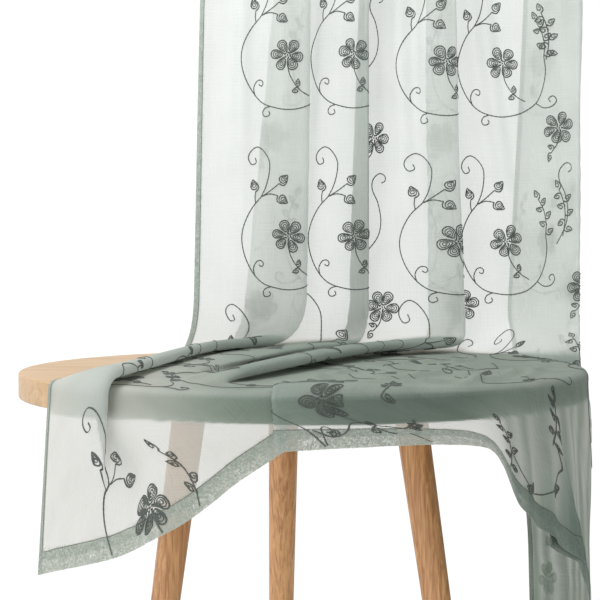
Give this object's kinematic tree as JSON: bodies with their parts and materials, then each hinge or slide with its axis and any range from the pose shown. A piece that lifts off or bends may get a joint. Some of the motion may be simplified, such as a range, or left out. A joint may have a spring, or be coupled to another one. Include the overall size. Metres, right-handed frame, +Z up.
{
  "type": "sheer curtain draped over a round table",
  "caption": "Sheer embroidered voile curtain panel that hangs by its top edge, lies in soft folds over a plain round wooden table and falls over the rim.",
  "frame": {"origin": "a point on the middle of the curtain's top edge, where it is hung", "axes": "+Z up, +X to the viewer's right, -Y towards the viewer"},
  "size_m": [0.7926, 0.7677, 1.3831],
  "materials": {
    "voile": "sheer plain weave, matte",
    "top_wood": "satin, light oak",
    "leg_wood": "satin, light oak"
  },
  "bodies": {
    "root": {"curtain": "voile", "table_top": "top_wood", "leg_back": "leg_wood", "leg_left": "leg_wood", "leg_right": "leg_wood"}
  },
  "joints": []
}
